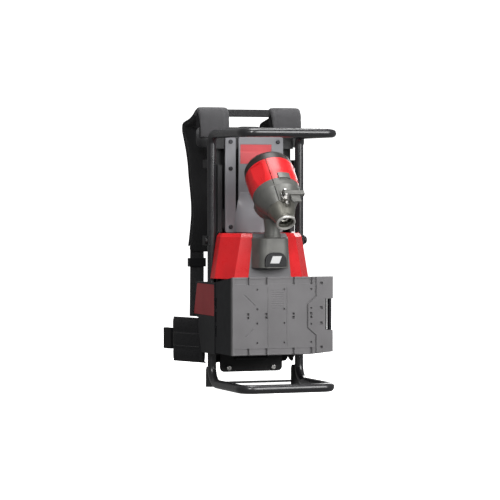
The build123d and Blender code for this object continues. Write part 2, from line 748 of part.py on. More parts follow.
def stator():
    ring = rod(52, 44, Pos(0, 0, 18)) - rod(31.5, 50, Pos(0, 0, 15))
    for i in range(12):
        ring -= Rot(0, 0, 30 * i) * slab(-4, 4, 33, 46, 10, 70)
    return HEAD * ring


def rotor():
    return HEAD * (rod(30.8, 42, Pos(0, 0, 19)) - rod(SPINDLE_R, 50, Pos(0, 0, 15)))


def spindle():
    """Motor shaft that ends in a square drive socket inside the coupling."""
    shaft = rod(SPINDLE_R, 147.5, Pos(0, 0, 4.5)) + rod(10, 26, Pos(0, 0, 152))
    shaft -= Pos(0, 0, 171) * Box(9, 9, 20)
    return HEAD * shaft


def fan():
    disc = rod(16, 5, Pos(0, 0, 68)) + rod(44, 2, Pos(0, 0, 68))
    for i in range(11):
        disc += Rot(0, 0, 360 / 11 * i) * slab(-1, 1, 14, 43, 69, 78)
    return HEAD * (disc - rod(SPINDLE_R, 20, Pos(0, 0, 60)))


def spindle_bearings():
    gap = SPINDLE_R + RUN_FIT
    return join(HEAD * bearing(14, gap, z0, z1) for z0, z1 in ((5, 13), (101, 109), (128, 138)))


def bearing_carrier():
    """Two spoked discs that seat the stator and the bearings."""
    discs = []
    for z0, outer in ((4.2, 50), (100, 52)):
        disc = rod(outer, 9.5, Pos(0, 0, z0)) - rod(14, 30, Pos(0, 0, z0 - 5))
        for i in range(6):
            disc -= Rot(0, 0, 60 * i) * Pos(0, 34, z0 + 5) * Cylinder(10, 30)
        discs.append(HEAD * disc)
    return join(discs)


def coupling_body():
    """Metal nose with the socket that takes the flexible shaft's end."""
    outer = lathe([
        (0, 126), (27.8, 126), (27.8, 147.2), (35.5, 147.2), (33, 156), (26, 176),
        (NOSE_R, 182), (NOSE_R, HEAD_L - 1), (NOSE_R - 1, HEAD_L), (0, HEAD_L),
    ])
    bore = rod(SOCKET_R, 60, Pos(0, 0, 150)) + rod(14, 40, Pos(0, 0, 125))
    bore += rod(MOUTH_R, 30, Pos(0, 0, HEAD_L - MOUTH_L))
    nose = outer - bore
    nose -= Pos(0, 0, LOCK_PIN_T) * Rot(-90, 0, 0) * rod(LOCK_PIN_R + RUN_FIT, 60)
    return HEAD * nose


def lever():
    """Bar that lies across the top of the nose; its +X end lifts."""
    bar = slab(PIVOT_X - 5.5, PIVOT_X + 47, PIVOT_H - 4, PIVOT_H + 6, LEVER_T0, LEVER_T1)
    bar = fillet(bar.edges().filter_by(Axis.Z).sort_by(Axis.X)[:2], 3)
    bar = chamfer(bar.edges().filter_by(Axis.X), 1)
    tab = slab(PIVOT_X + 11, PIVOT_X + 34, PIVOT_H - 3, PIVOT_H + 1.5, LEVER_T1 - 1, LEVER_T1 + 21)
    return HEAD * (bar + tab - rod(2.5 + RUN_FIT, 60, Pos(PIVOT_X, PIVOT_H, 100)))


def lever_pin():
    return HEAD * rod(2.5, 23, Pos(PIVOT_X, PIVOT_H, (LEVER_T0 + LEVER_T1) / 2 - 11.5))


EAR = [
    (-8, 36), (10, 36), (6, PIVOT_H + 4), (2, PIVOT_H + 7), (-4, PIVOT_H + 7), (-6.5, PIVOT_H + 2),
]


def lever_bracket():
    """Two bright ears that carry the lever's pivot pin."""
    ears = []
    for t0 in (LEVER_T0 - 3.5, LEVER_T1 + 0.5):
        ears.append(Pos(PIVOT_X, 0, 0) * prism_z(EAR, t0, t0 + 3))
    saddle = slab(PIVOT_X - 8, PIVOT_X + 10, 36, PIVOT_H - 7.4, LEVER_T0 - 3.5, LEVER_T1 + 3.5)
    bracket = saddle + ears[0] + ears[1]
    bracket -= rod(2.5, 60, Pos(PIVOT_X, PIVOT_H, 100))
    return (HEAD * bracket) - gearcase_blank() - (HEAD * rod(28.2, 60, Pos(0, 0, 110)))


def lock_pin():
    """Radial pin that catches the groove of the flexible shaft's end."""
    pin = Pos(0, SOCKET_R - 3, LOCK_PIN_T) * Rot(-90, 0, 0) * rod(LOCK_PIN_R, 28)
    head = Pos(0, SOCKET_R + 23, LOCK_PIN_T) * Rot(-90, 0, 0) * rod(5, 3)
    return HEAD * (pin + head)


def screw_place(angle, t):
    return Rot(0, 0, angle) * Pos(0, MOTOR_R - 4.5, t) * Rot(-90, 0, 0)


def head_screw(angle, t):
    """Socket screw that closes the clamshells, on the right half."""
    return HEAD * screw_place(angle, t) * (rod(3.6, 5.1) - Pos(0, 0, 4) * Box(3, 3, 3))


screw_pockets = join(HEAD * screw_place(*place) * rod(3.65, 30) for place in SCREW_PLACES)
parts["motor_right_shell"] = parts["motor_right_shell"] - screw_pockets
parts["motor_screws"] = join(head_screw(*place) for place in SCREW_PLACES)
parts["tail_cap"] = tail_cap()
parts["motor_stator"] = stator()
parts["motor_rotor"] = rotor()
parts["drive_spindle"] = spindle()
parts["cooling_fan"] = fan()
parts["spindle_bearings"] = spindle_bearings()
parts["bearing_carriers"] = bearing_carrier()
parts["coupling_nose"] = coupling_body()
parts["release_lever"] = lever()
parts["lever_pivot_pin"] = lever_pin()
parts["lever_bracket"] = lever_bracket()
parts["lock_pin"] = lock_pin()


# --- soft goods ------------------------------------------------------------------------------
def back_pad():
    """Pad on the board: crowned between the strap roots, notched under them."""
    side, notch = PAD_HALF, PAD_Z1 - 27
    neck = YOKE_IN - 0.6
    half = [(side, PAD_Z0), (side, notch), (neck, notch), (neck, PAD_Z1 - 7), (25, PAD_Z1 - 1)]
    return prism_y(mirrored_outline(half), PAD_Y0, PAD_Y1)


STRAP_BACK = [
    (56, 640.4), (58, 690), (62, 703), (74, 706.5), (102, 694), (140, 684), (182, 676), (201, 667),
    (193, 650), (172, 612), (154, 585), (146, 540), (136, 505), (124, 472), (121, 440),
    (130, 400), (140, 368), (150, 345), (148, 333), (136, 331),
]
STRAP_FRONT = [
    (126, 340), (120, 372), (110, 404), (102, 438), (105, 478), (117, 512), (127, 548),
    (136, 596), (152, 628), (160, 645), (150, 655), (124, 664), (100, 674), (84, 682), (82, 640.4),
]
SADDLE = [
    (45.5, 625), (50.9, 625), (50.9, 655.4), (55.7, 655.4), (55.7, 640.4), (82, 640.4),
    (84, 682), (84, 702), (74, 706.5), (58, 703), (48, 690), (45.5, 660),
]


def shoulder_strap():
    """Padded strap: saddle over the board's head, out, and down the wearer's side."""
    body = prism_x(STRAP_BACK + STRAP_FRONT, STRAP_IN, STRAP_OUT)
    return body + prism_x(SADDLE, YOKE_IN, STRAP_OUT)


BELT_PLAN = [
    (112.6, 62), (112.6, 80), (122, 100), (136, 136), (150, 170), (160, 186),
    (170, 184), (163, 164), (149, 126), (134, 92), (125, 76), (125, 62),
]


def hip_wing():
    """Padded wing of the hip belt, curving forward round the hip."""
    return prism_z(BELT_PLAN, BELT_Z0, BELT_Z1)


def belt_buckle():
    """Side-release buckle half with its web at the wing's tip."""
    outline = [(160.5, 186.6), (170.5, 184.6), (180, 213), (176, BELT_TIP - 0.2), (168, BELT_TIP)]
    return prism_z(outline, 88, 142)


def web_section(x, y, z):
    """Cross-section of the flat web from its inner back corner."""
    return Pos(x, y, z) * Rectangle(WEB_W, WEB_T, align=(Align.MIN, Align.MIN))


def lower_web():
    """Flat web: straight through its buckle, then down and back to the belt."""
    upright = extrude(web_section(WEB_X, WEB_Y, 296), amount=34.6)
    slope = loft([
        web_section(WEB_X + 11, WEB_Y - 28, BELT_Z1 + 0.3),
        web_section(WEB_X, WEB_Y, 296),
    ], ruled=True)
    return upright + slope


def strap_ladder():
    """Ladder-lock buckle that joins the strap's end to the lower web."""
    x1, y1 = WEB_X + WEB_W, WEB_Y + WEB_T
    block = slab(WEB_X - 3.5, x1 + 3.5, WEB_Y - 4, y1 + 7, 300, 322)
    return block - slab(WEB_X - 0.3, x1 + 0.3, WEB_Y - 0.3, y1 + 0.3, 298, 324)


def carry_handle():
    """Webbing carry handle between the two strap crests."""
    return slab(0.4 - YOKE_IN, YOKE_IN - 0.4, 63, 66.5, 680.5, 701)


parts["back_pad"] = back_pad()
parts["shoulder_straps"] = join(pair(shoulder_strap))
parts["hip_wings"] = join(pair(hip_wing))
parts["belt_buckles"] = join(pair(belt_buckle))
parts["lower_webs"] = join(pair(lower_web))
parts["strap_ladder_locks"] = join(pair(strap_ladder))
parts["carry_handle"] = carry_handle()


os.makedirs("parts", exist_ok=True)
for name, solid in parts.items():
    placed = [Pos(0, ORIGIN_SHIFT, 0) * body for body in solid.solids()]
    export_step(join(placed), f"parts/{name}.step")
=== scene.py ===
import json
import math

import bmesh
import bpy
import numpy as np
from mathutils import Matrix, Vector

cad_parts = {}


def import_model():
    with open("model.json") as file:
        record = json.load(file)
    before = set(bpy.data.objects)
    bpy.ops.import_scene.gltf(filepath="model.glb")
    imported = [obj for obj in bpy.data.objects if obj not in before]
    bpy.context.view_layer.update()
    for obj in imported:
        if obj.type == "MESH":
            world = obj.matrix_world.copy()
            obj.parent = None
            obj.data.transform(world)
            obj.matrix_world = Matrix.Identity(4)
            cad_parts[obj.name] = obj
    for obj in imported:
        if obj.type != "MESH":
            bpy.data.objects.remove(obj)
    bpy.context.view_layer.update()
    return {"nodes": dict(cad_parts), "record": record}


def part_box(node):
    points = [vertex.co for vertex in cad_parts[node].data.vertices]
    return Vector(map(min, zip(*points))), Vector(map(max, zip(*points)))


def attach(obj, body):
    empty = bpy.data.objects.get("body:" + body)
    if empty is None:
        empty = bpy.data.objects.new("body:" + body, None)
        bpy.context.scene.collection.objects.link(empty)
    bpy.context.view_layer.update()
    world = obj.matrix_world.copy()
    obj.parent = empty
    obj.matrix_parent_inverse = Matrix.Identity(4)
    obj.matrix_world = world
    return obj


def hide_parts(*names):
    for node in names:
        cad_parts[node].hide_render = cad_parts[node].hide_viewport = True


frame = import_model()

MM = 0.001
SIDES = (-1, 1)
HANDS = ((-1, "left"), (1, "right"))
HEAD_AXIS = (0, -0.69466, -0.71934)
# The lines of the harness are given from the frame's datum, which lies this far
# along Y from the origin.
SHIFT = 12.35 * MM


# --- material building blocks -------------------------------------------------
class Surface:
    """A node material with object coordinates, noise, bump, and an edge mask for edge wear and painted
    edge highlights.
    """

    def __init__(self, name, roughness=0.5, metallic=0.0, specular=0.5):
        self.material = bpy.data.materials.new(name)
        self.material.use_nodes = True
        self.nodes = self.material.node_tree.nodes
        self.links = self.material.node_tree.links
        self.shader = self.nodes["Principled BSDF"]
        self.shader.inputs["Roughness"].default_value = roughness
        self.shader.inputs["Metallic"].default_value = metallic
        self.shader.inputs["Specular IOR Level"].default_value = specular
        self.place = self.node("ShaderNodeTexCoord").outputs["Object"]
        self.height = None

    def node(self, kind, **values):
        made = self.nodes.new(kind)
        for name, value in values.items():
            setattr(made, name, value)
        return made

    def link(self, source, target):
        self.links.new(source, target)

    def stretched(self, scale):
        """Object coordinates, scaled along each axis."""
        mapping = self.node("ShaderNodeMapping")
        mapping.inputs["Scale"].default_value = scale
        self.link(self.place, mapping.inputs["Vector"])
        return mapping.outputs["Vector"]

    def noise(self, size, detail=3.0, stretch=None, distortion=0.0):
        """Noise whose features are about size metres across."""
        texture = self.node("ShaderNodeTexNoise")
        texture.inputs["Scale"].default_value = 1.0 / size
        texture.inputs["Detail"].default_value = detail
        texture.inputs["Distortion"].default_value = distortion
        self.link(self.stretched(stretch) if stretch else self.place, texture.inputs["Vector"])
        return texture.outputs["Fac"]

    def cells(self, size, stretch=None, feature="F1"):
        texture = self.node("ShaderNodeTexVoronoi", feature=feature)
        texture.inputs["Scale"].default_value = 1.0 / size
        self.link(self.stretched(stretch) if stretch else self.place, texture.inputs["Vector"])
        return texture.outputs["Distance"]

    def bands(self, size, direction):
        """Sine bands across a direction, one every size metres."""
        dot = self.node("ShaderNodeVectorMath", operation="DOT_PRODUCT")
        dot.inputs[1].default_value = Vector(direction).normalized() * (2 * math.pi / size)
        self.link(self.place, dot.inputs[0])
        return self.math("SINE", dot.outputs["Value"])

    def math(self, operation, a, b=None):
        step = self.node("ShaderNodeMath", operation=operation)
        for socket, value in zip(step.inputs, (a, b)):
            if isinstance(value, (int, float)):
                socket.default_value = value
            elif value is not None:
                self.link(value, socket)
        return step.outputs["Value"]

    def between(self, source, low, high, start=0.3, end=0.7):
        """Source mapped from start..end onto low..high."""
        span = self.node("ShaderNodeMapRange")
        for socket, value in zip(("From Min", "From Max", "To Min", "To Max"), (start, end, low, high)):
            span.inputs[socket].default_value = value
        self.link(source, span.inputs["Value"])
        return span.outputs["Result"]

    def mix(self, factor, a, b):
        """Colour a where factor is 0, b where it is 1."""
        blend = self.node("ShaderNodeMix", data_type="RGBA")
        self.link(factor, blend.inputs["Factor"])
        for socket, value in ((blend.inputs[6], a), (blend.inputs[7], b)):
            if isinstance(value, tuple):
                socket.default_value = (*value, 1.0)
            else:
                self.link(value, socket)
        return blend.outputs[2]

    def edges(self, radius):
        """(rounded normal, mask that is 1 on sharp edges)."""
        bevel = self.node("ShaderNodeBevel", samples=6)
        bevel.inputs["Radius"].default_value = radius
        true = self.node("ShaderNodeNewGeometry")
        dot = self.node("ShaderNodeVectorMath", operation="DOT_PRODUCT")
        self.link(bevel.outputs["Normal"], dot.inputs[0])
        self.link(true.outputs["Normal"], dot.inputs[1])
        return bevel.outputs["Normal"], self.between(dot.outputs["Value"], 1.0, 0.0, 0.75, 0.99)

    def raise_by(self, height, depth):
        """Adds a height pattern, depth metres high."""
        scaled = self.math("MULTIPLY", height, depth)
        self.height = scaled if self.height is None else self.math("ADD", self.height, scaled)

    def done(self, colour, roughness=None, normal=None):
        self.link(colour, self.shader.inputs["Base Color"])
        if roughness is not None:
            self.link(roughness, self.shader.inputs["Roughness"])
        if self.height is not None:
            bump = self.node("ShaderNodeBump")
            bump.inputs["Distance"].default_value = 1.0
            self.link(self.height, bump.inputs["Height"])
            if normal is not None:
                self.link(normal, bump.inputs["Normal"])
            normal = bump.outputs["Normal"]
        if normal is not None:
            self.link(normal, self.shader.inputs["Normal"])
        return self.material


def shade(colour, factor):
    return tuple(min(1.0, c * factor) for c in colour)


def moulded(name, colour, roughness=0.45, grain=0.7 * MM, depth=0.03 * MM, wear=0.35, specular=0.5):
    """Moulded plastic: spark-eroded grain, faint flow marks, rubbed edges."""
    s = Surface(name, specular=specular)
    fine = s.noise(grain, 4)
    broad = s.noise(60 * MM, 2)
    normal, rim = s.edges(0.7 * MM)
    base = s.mix(s.between(broad, 0, 1), shade(colour, 0.88), shade(colour, 1.1))
    base = s.mix(s.between(fine, 0, 0.35), base, shade(colour, 1.35))
    scuff = s.math("MULTIPLY", rim, s.between(s.noise(7 * MM, 5), 0, wear, 0.4, 0.65))
    base = s.mix(scuff, base, tuple(min(1.0, c * 1.6 + 0.06) for c in colour))
    polish = s.between(s.noise(25 * MM, 4), roughness - 0.02, roughness + 0.03)
    rough = s.math("ADD", s.between(fine, -0.05, 0.05), polish)
    s.raise_by(fine, depth)
    return s.done(base, rough, normal)


def coated(name, colour, roughness=0.3, peel=1.6 * MM, coat=0.4):
    """Powder coat on metal: orange peel, dust, bright chips on edges."""
    s = Surface(name)
    s.shader.inputs["Coat Weight"].default_value = coat
    s.shader.inputs["Coat Roughness"].default_value = 0.18
    skin = s.noise(peel, 2)
    normal, rim = s.edges(0.8 * MM)
    dust = s.between(s.noise(45 * MM, 5), 0, 0.5)
    base = s.mix(dust, colour, tuple(c * 1.25 + 0.006 for c in colour))
    chips = s.math("MULTIPLY", rim, s.between(s.noise(4 * MM, 6), 0, 0.12, 0.56, 0.66))
    base = s.mix(chips, base, (0.14, 0.14, 0.145))
    rough = s.between(s.noise(20 * MM, 5), roughness - 0.05, roughness + 0.08)
    s.raise_by(skin, 0.008 * MM)
    return s.done(base, rough, normal)


def metal(name, colour, roughness=0.35, brush=(1, 1, 30), size=2 * MM, metallic=1.0, depth=0.012 * MM):
    """Bare metal with tool marks along one axis; every edge painted lighter, partly edge wear and partly
    a painted edge highlight.
    """
    s = Surface(name, metallic=metallic)
    marks = s.noise(size, 4, stretch=brush)
    stains = s.between(s.noise(18 * MM, 4), 0, 1)
    normal, rim = s.edges(0.6 * MM)
    base = s.mix(stains, shade(colour, 0.82), shade(colour, 1.08))
    # Every edge painted lighter by one fixed amount: a painted edge highlight, partly edge wear.
    base = s.mix(s.math("MULTIPLY", rim, 0.6), base, tuple(min(1.0, c * 1.3 + 0.1) for c in colour))
    rough = s.between(marks, roughness - 0.07, roughness + 0.1)
    s.raise_by(marks, depth)
    return s.done(base, rough, normal)


def casting(name, colour, roughness=0.42):
    """Painted die casting: pebbled skin, faint metallic flake, rubbed edges."""
    s = Surface(name, metallic=0.35)
    pebble = s.noise(1.1 * MM, 3)
    normal, rim = s.edges(0.9 * MM)
    base = s.mix(s.between(s.noise(35 * MM, 4), 0, 1), shade(colour, 0.85), shade(colour, 1.12))
    base = s.mix(s.between(s.cells(0.35 * MM), 0.25, 0, 0.05, 0.25), base, shade(colour, 1.8))
    rub = s.math("MULTIPLY", rim, s.between(s.noise(6 * MM, 5), 0, 0.6, 0.42, 0.62))
    base = s.mix(rub, base, (0.45, 0.45, 0.43))
    rough = s.between(s.noise(12 * MM, 4), roughness - 0.06, roughness + 0.08)
    s.raise_by(pebble, 0.05 * MM)
    return s.done(base, rough, normal)


def rimmed(name, colour, bright, start):
    """Bead-blasted casting whose mouth, past start along the head's axis, is turned bright."""
    s = Surface(name, metallic=0.7)
    along = s.node("ShaderNodeVectorMath", operation="DOT_PRODUCT")
    along.inputs[1].default_value = HEAD_AXIS
    s.link(s.place, along.inputs[0])
    mouth = s.between(along.outputs["Value"], 0, 1, start, start + 0.5 * MM)
    grit = s.noise(0.9 * MM, 3)
    normal, rim = s.edges(0.7 * MM)
    base = s.mix(s.between(s.noise(20 * MM, 4), 0, 1), shade(colour, 0.85), shade(colour, 1.15))
    # Every edge painted lighter by one fixed amount: a painted edge highlight.
    base = s.mix(s.math("MULTIPLY", rim, 0.5), base, shade(bright, 0.7))
    base = s.mix(mouth, base, bright)
    s.raise_by(grit, 0.03 * MM)
    return s.done(base, s.between(s.noise(8 * MM, 4), 0.36, 0.5), normal)


def woven(name, colour, pitch=1.1 * MM, depth=0.16 * MM, sheen=0.25, fold=0.0):
    """Plain-weave cloth with uneven yarns, lint and faint folds."""
    s = Surface(name, roughness=0.85, specular=0.3)
    s.shader.inputs["Sheen Weight"].default_value = sheen
    s.shader.inputs["Sheen Roughness"].default_value = 0.5
    warp = s.bands(pitch, (1, 0.35, 1))
    weft = s.bands(pitch, (1, 0.35, -1))
    weave = s.math("MULTIPLY", warp, weft)
    yarn = s.noise(0.5 * MM, 3)
    base = s.mix(s.between(weave, 0, 1, -1, 1), shade(colour, 0.7), shade(colour, 1.3))
    base = s.mix(s.between(s.noise(40 * MM, 4), 0, 0.45), base, shade(colour, 1.5))
    base = s.mix(s.between(yarn, 0, 0.3, 0.55, 0.8), base, tuple(c * 2 + 0.02 for c in colour))
    s.raise_by(weave, depth)
    s.raise_by(yarn, depth * 0.5)
    if fold:
        s.raise_by(s.noise(30 * MM, 2, distortion=0.6), fold)
    return s.done(base, s.between(yarn, 0.78, 0.95))


def air_mesh(name, colour, pitch=3.2 * MM):
    """Spacer mesh: round open cells over foam."""
    s = Surface(name, roughness=0.9, specular=0.25)
    s.shader.inputs["Sheen Weight"].default_value = 0.06
    holes = s.cells(pitch, stretch=(1, 0.4, 1))
    # The sunken cell centres are painted darker than the raised mesh between them: painted shade in the
    # holes.
    base = s.mix(s.between(holes, 0, 1, 0.15, 0.45), shade(colour, 0.35), shade(colour, 1.5))
    base = s.mix(s.between(s.noise(50 * MM, 3), 0, 0.4), base, shade(colour, 1.6))
    s.raise_by(s.between(holes, 0, 1, 0.1, 0.5), 0.5 * MM)
    s.raise_by(s.noise(0.5 * MM, 2), 0.08 * MM)
    return s.done(base, s.between(s.noise(4 * MM, 3), 0.82, 0.95))


def webbing(name, colour, rib=2.2 * MM):
    """Nylon webbing: herringbone ribs and a few raised threads."""
    s = Surface(name, roughness=0.55, specular=0.4)
    s.shader.inputs["Sheen Weight"].default_value = 0.06
    left = s.bands(rib, (1, 0.5, 0.8))
    right = s.bands(rib, (1, 0.5, -0.8))
    ribs = s.math("MAXIMUM", left, right)
    base = s.mix(s.between(ribs, 0, 1, 0, 1), shade(colour, 0.6), shade(colour, 1.7))
    base = s.mix(s.between(s.noise(30 * MM, 3), 0, 0.4), base, shade(colour, 1.8))
    s.raise_by(ribs, 0.14 * MM)
    s.raise_by(s.noise(0.6 * MM, 3), 0.06 * MM)
    return s.done(base, s.between(s.noise(3 * MM, 3), 0.45, 0.7))


def laminated(name, colour, second, pitch=0.8 * MM, metallic=0.8):
    """Stacked steel sheets or close windings, in bands along the head's axis."""
    s = Surface(name, metallic=metallic)
    stack = s.bands(pitch, (0, -0.695, -0.719))
    base = s.mix(s.between(stack, 0, 1, -0.6, 0.6), colour, second)
    base = s.mix(s.between(s.noise(8 * MM, 3), 0, 0.4), base, shade(colour, 1.3))
    s.raise_by(stack, 0.05 * MM)
    return s.done(base, s.between(s.noise(3 * MM, 3), 0.35, 0.5))


def circuit(name, colour):
    """Solder mask with copper tracks under it."""
    s = Surface(name, specular=0.6)
    tracks = s.math("MAXIMUM", s.bands(3 * MM, (1, 0, 0)), s.bands(4.5 * MM, (0, 0.2, 1)))
    base = s.mix(s.between(tracks, 0, 0.6, 0.9, 0.97), colour, shade(colour, 2.2))
    base = s.mix(s.between(s.noise(20 * MM, 3), 0, 0.4), base, shade(colour, 0.6))
    s.raise_by(tracks, 0.02 * MM)
    return s.done(base, s.between(s.noise(6 * MM, 2), 0.3, 0.45))


def wrapped_cell(name, colour):
    """Shrink sleeve with a faint draw line round each cell."""
    s = Surface(name, specular=0.6)
    rings = s.bands(35 * MM, (0, 1, 0))
    base = s.mix(s.between(rings, 0, 1, 0.9, 1.0), colour, (0.5, 0.5, 0.5))
    base = s.mix(s.between(s.noise(15 * MM, 3), 0, 0.5), base, shade(colour, 1.6))
    s.raise_by(s.noise(5 * MM, 3), 0.05 * MM)
    return s.done(base, s.between(s.noise(8 * MM, 3), 0.3, 0.45))


MATERIALS = {
    "frame_tube": coated("frame_tube", (0.014, 0.014, 0.016), roughness=0.3, coat=0.6),
    "black_plastic": moulded("black_plastic", (0.009, 0.009, 0.01), roughness=0.42, specular=0.35),
    "rubber_black": moulded(
        "rubber_black", (0.02, 0.02, 0.021), roughness=0.7, grain=1.2 * MM, depth=0.08 * MM, wear=0.2
    ),
    "plate_grey": coated("plate_grey", (0.20, 0.20, 0.215), roughness=0.42, coat=0.1),
    "inlay_red": moulded("inlay_red", (0.62, 0.075, 0.085), roughness=0.45, wear=0.1),
    # A darker copy of the red: painted shade of the dock's side face, which faces away from the lamps.
    "label_red": moulded("label_red", (0.34, 0.035, 0.04), roughness=0.5, wear=0.1),
    "dock_plastic": moulded("dock_plastic", (0.009, 0.0095, 0.011), roughness=0.45, specular=0.35),
    "battery_grey": moulded("battery_grey", (0.135, 0.131, 0.135), roughness=0.48, wear=0.5),
    "battery_dark": moulded("battery_dark", (0.006, 0.007, 0.009), roughness=0.5, wear=0.2, specular=0.3),
    "shell_red": moulded(
        "shell_red", (0.66, 0.016, 0.02), roughness=0.3, grain=0.9 * MM, depth=0.02 * MM, wear=0.15
    ),
    "panel_grey": moulded("panel_grey", (0.16, 0.158, 0.165), roughness=0.45),
    "case_grey": casting("case_grey", (0.15, 0.15, 0.14)),
    "cap_black": moulded("cap_black", (0.022, 0.017, 0.015), roughness=0.4),
    "nose_metal": metal(
        "nose_metal", (0.42, 0.41, 0.37), roughness=0.42, brush=(1, 1, 1), size=0.8 * MM, depth=0.03 * MM
    ),
    "bright_steel": metal("bright_steel", (0.72, 0.71, 0.69), roughness=0.22),
    "dark_steel": metal("dark_steel", (0.06, 0.06, 0.065), roughness=0.4),
    "bearing_steel": metal("bearing_steel", (0.6, 0.6, 0.62), roughness=0.25, brush=(1, 20, 20)),
    "bronze": metal("bronze", (0.5, 0.32, 0.14), roughness=0.4),
    "copper_winding": laminated("copper_winding", (0.45, 0.20, 0.08), (0.12, 0.05, 0.02)),
    "cell_blue": wrapped_cell("cell_blue", (0.05, 0.12, 0.30)),
    "board_green": circuit("board_green", (0.02, 0.12, 0.05)),
    "fabric_black": air_mesh("fabric_black", (0.009, 0.009, 0.01)),
    "fabric_grey": woven("fabric_grey", (0.012, 0.012, 0.013), sheen=0.08, fold=0.8 * MM),
    "web_black": webbing("web_black", (0.007, 0.007, 0.008)),
}
BINDING = woven("binding_tape", (0.008, 0.008, 0.009), pitch=0.8 * MM, depth=0.1 * MM, sheen=0.06)
THREAD = woven("sewing_thread", (0.05, 0.05, 0.052), pitch=0.6 * MM, depth=0.05 * MM)
# The straps' cloth painted over four times lighter: painted light where the saddle faces the front lamps.
LIT_SADDLE_CLOTH = woven("saddle_cloth_painted_light", (0.055, 0.054, 0.057), fold=0.5 * MM)
BADGE = moulded("badge_light", (0.62, 0.62, 0.62), roughness=0.35, wear=0.1)

# Where the bright mouth of the coupling starts, along HEAD_AXIS from the origin.
MOUTH_START = -173.3 * MM
NODE_MATERIALS = {
    "coupling_nose": rimmed("coupling_cast", (0.2, 0.195, 0.17), (0.75, 0.74, 0.7), MOUTH_START),
}

for row in frame["record"]["subparts"]:
    mesh = frame["nodes"][row["node"]].data
    mesh.materials.clear()
    mesh.materials.append(NODE_MATERIALS.get(row["node"], MATERIALS[row["material_slot"]]))


# --- mesh helpers --------------------------------------------------------------
def add_piece(name, mesh, material, body="frame", smooth=True):
    """Wraps a mesh as a piece that rides on a body."""
    piece = bpy.data.objects.new(name, mesh)
    bpy.context.scene.collection.objects.link(piece)
    mesh.materials.clear()
    mesh.materials.append(material)
    mesh.shade_smooth() if smooth else mesh.shade_flat()
    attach(piece, body)
    return piece


def mesh_from(name, verts, faces):
    mesh = bpy.data.meshes.new(name)
    mesh.from_pydata([tuple(v) for v in verts], [], faces)
    tool = bmesh.new()
    tool.from_mesh(mesh)
    bmesh.ops.recalc_face_normals(tool, faces=tool.faces)
    tool.to_mesh(mesh)
    tool.free()
    return mesh


def between_points(a, b, c, d, t):
    """Catmull-Rom point from b at t = 0 to c at t = 1."""
    bend = (2 * a - 5 * b + 4 * c - d) * t**2
    return 0.5 * (2 * b + (c - a) * t + bend + (3 * b - a - 3 * c + d) * t**3)


def spline(points, count):
    """Points evenly spaced along a smooth curve through the given ones; extra columns go along."""
    p = np.array(points, float)
    p = np.vstack([2 * p[0] - p[1], p, 2 * p[-1] - p[-2]])
    dense = []
    for i in range(1, len(p) - 2):
        for t in np.linspace(0, 1, 24, endpoint=False):
            dense.append(between_points(*p[i - 1:i + 3], t))
    dense.append(p[-2])
    dense = np.array(dense)
    steps = np.linalg.norm(np.diff(dense[:, :3], axis=0), axis=1)
    along = np.concatenate([[0], np.cumsum(steps)])
    wanted = np.linspace(0, along[-1], count)
    return np.stack([np.interp(wanted, along, dense[:, k]) for k in range(dense.shape[1])], axis=1)


def rounded_section(half_u, half_v, count=28, power=3.2):
    """Superellipse as (u, v) pairs."""
    turn = np.linspace(0, 2 * math.pi, count, endpoint=False)
    c, s = np.cos(turn), np.sin(turn)
    u = half_u * np.sign(c) * np.abs(c) ** (2 / power)
    v = half_v * np.sign(s) * np.abs(s) ** (2 / power)
    return np.stack([u, v], axis=1)


def loft(name, rings):
    """Closed skin over a list of rings of equal count."""
    count = len(rings[0])
    verts = [tuple(v) for ring in rings for v in ring]
    faces = []
    for i in range(len(rings) - 1):
        for k in range(count):
            a, b = i * count + k, i * count + (k + 1) % count
            faces.append((a, b, b + count, a + count))
    faces.append(tuple(range(count)))
    faces.append(tuple(range((len(rings) - 1) * count, len(rings) * count)))
    return mesh_from(name, verts, faces)


def tangents(line):
    t = np.gradient(line, axis=0)
    return t / np.linalg.norm(t, axis=1)[:, None]


def ribbon_frames(line, across):
    """(tangent, across, thickness direction) at each point of a band's line."""
    t = tangents(line)
    across = np.tile(np.array(across, float), (len(line), 1))
    across -= (across * t).sum(1)[:, None] * t
    across /= np.linalg.norm(across, axis=1)[:, None]
    return t, across, np.cross(t, across)


def band(name, points, across, half_width, half_thickness, count=60, power=3.2, sides=28):
    """Strap along points; the widths may be numbers or one value per sample."""
    line = spline(points, count)
    _, a, n = ribbon_frames(line, across)
    widths = np.broadcast_to(half_width, (count,))
    thick = np.broadcast_to(half_thickness, (count,))
    rings = []
    for i in range(count):
        section = rounded_section(widths[i], thick[i], sides, power)
        rings.append(line[i] + section[:, :1] * a[i] + section[:, 1:] * n[i])
    return loft(name, rings)


def mesh_of(piece):
    """The piece's mesh with its modifiers applied."""
    graph = bpy.context.evaluated_depsgraph_get()
    return bpy.data.meshes.new_from_object(piece.evaluated_get(graph))


def positions(mesh):
    out = np.zeros(len(mesh.vertices) * 3)
    mesh.vertices.foreach_get("co", out)
    return out.reshape(-1, 3)


def set_positions(mesh, co):
    mesh.vertices.foreach_set("co", np.asarray(co, np.float32).ravel())
    mesh.update()


def take(piece):
    """Applies the piece's modifiers for good."""
    bpy.context.view_layer.update()
    mesh = mesh_of(piece)
    piece.modifiers.clear()
    piece.data = mesh


SIM_FRAMES = 20


